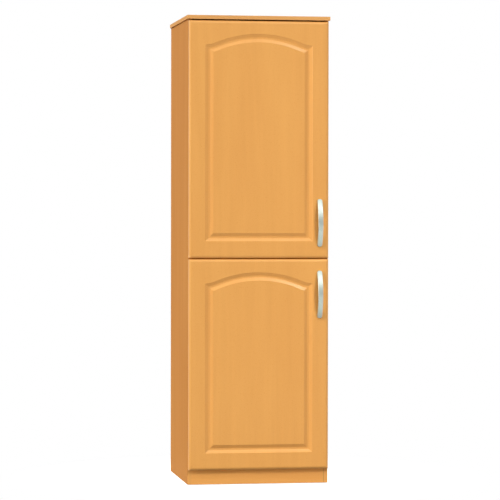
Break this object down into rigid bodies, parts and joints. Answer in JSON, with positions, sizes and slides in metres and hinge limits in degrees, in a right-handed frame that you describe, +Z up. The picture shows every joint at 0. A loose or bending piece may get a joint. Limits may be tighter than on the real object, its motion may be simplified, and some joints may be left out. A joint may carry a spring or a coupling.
{
  "type": "refrigerator housing cabinet",
  "caption": "Tall beech-decor kitchen housing for a built-in refrigerator: arched raised-panel doors on concealed hinges, open-backed niche below, shelved cupboard above, bow handles.",
  "frame": {"origin": "on the floor under the middle of the overall footprint, handles included", "axes": "+X to the right across the front, +Y from the front into the cabinet, +Z up"},
  "size_m": [0.61, 0.615, 1.98],
  "materials": {
    "door_beech": "beech-decor foil on moulded board, satin",
    "carcass_beech": "beech-decor melamine board, satin",
    "back_board": "lacquered hardboard",
    "dowel_wood": "raw beech",
    "handle_nickel": "satin nickel",
    "hinge_steel": "nickel-plated steel",
    "zinc": "bright zinc",
    "white_plastic": "moulded plastic",
    "bumper_clear": "soft clear bumper"
  },
  "bodies": {
    "carcass": {"left_side_panel": "carcass_beech", "right_side_panel": "carcass_beech", "top_panel": "carcass_beech", "bottom_panel": "carcass_beech", "fixed_shelf": "carcass_beech", "plinth_board": "carcass_beech", "rear_plinth_rail": "carcass_beech", "lower_adjustable_shelf": "carcass_beech", "upper_adjustable_shelf": "carcass_beech", "upper_back_panel": "back_board", "cam_locks": "zinc", "cam_bolts": "zinc", "wooden_dowels": "dowel_wood", "shelf_pins": "hinge_steel", "floor_glides": "white_plastic", "wall_brackets": "zinc", "wall_bracket_screws": "zinc", "hinge_plate_screws": "hinge_steel", "hinge_arm_screws": "hinge_steel", "lower_bottom_hinge_arm": "hinge_steel", "lower_bottom_hinge_plate": "hinge_steel", "lower_middle_hinge_arm": "hinge_steel", "lower_middle_hinge_plate": "hinge_steel", "lower_top_hinge_arm": "hinge_steel", "lower_top_hinge_plate": "hinge_steel", "upper_bottom_hinge_arm": "hinge_steel", "upper_bottom_hinge_plate": "hinge_steel", "upper_middle_hinge_arm": "hinge_steel", "upper_middle_hinge_plate": "hinge_steel", "upper_top_hinge_arm": "hinge_steel", "upper_top_hinge_plate": "hinge_steel"},
    "lower_leaf": {"lower_door": "door_beech", "lower_handle": "handle_nickel", "lower_handle_screws": "zinc", "lower_door_bumpers": "bumper_clear", "lower_hinge_pins": "hinge_steel", "lower_cup_screws": "hinge_steel", "lower_bottom_hinge_cup": "hinge_steel", "lower_middle_hinge_cup": "hinge_steel", "lower_top_hinge_cup": "hinge_steel"},
    "upper_leaf": {"upper_door": "door_beech", "upper_handle": "handle_nickel", "upper_handle_screws": "zinc", "upper_door_bumpers": "bumper_clear", "upper_hinge_pins": "hinge_steel", "upper_cup_screws": "hinge_steel", "upper_bottom_hinge_cup": "hinge_steel", "upper_middle_hinge_cup": "hinge_steel", "upper_top_hinge_cup": "hinge_steel"}
  },
  "joints": [
    {"name": "lower_door_swing", "type": "hinge", "parent": "carcass", "child": "lower_leaf", "pos_m": [-0.29121, -0.2645, 0.51], "axis": [0, 0, -1], "range_deg": [0, 95]},
    {"name": "upper_door_swing", "type": "hinge", "parent": "carcass", "child": "upper_leaf", "pos_m": [-0.29121, -0.2645, 1.459], "axis": [0, 0, -1], "range_deg": [0, 95]}
  ]
}
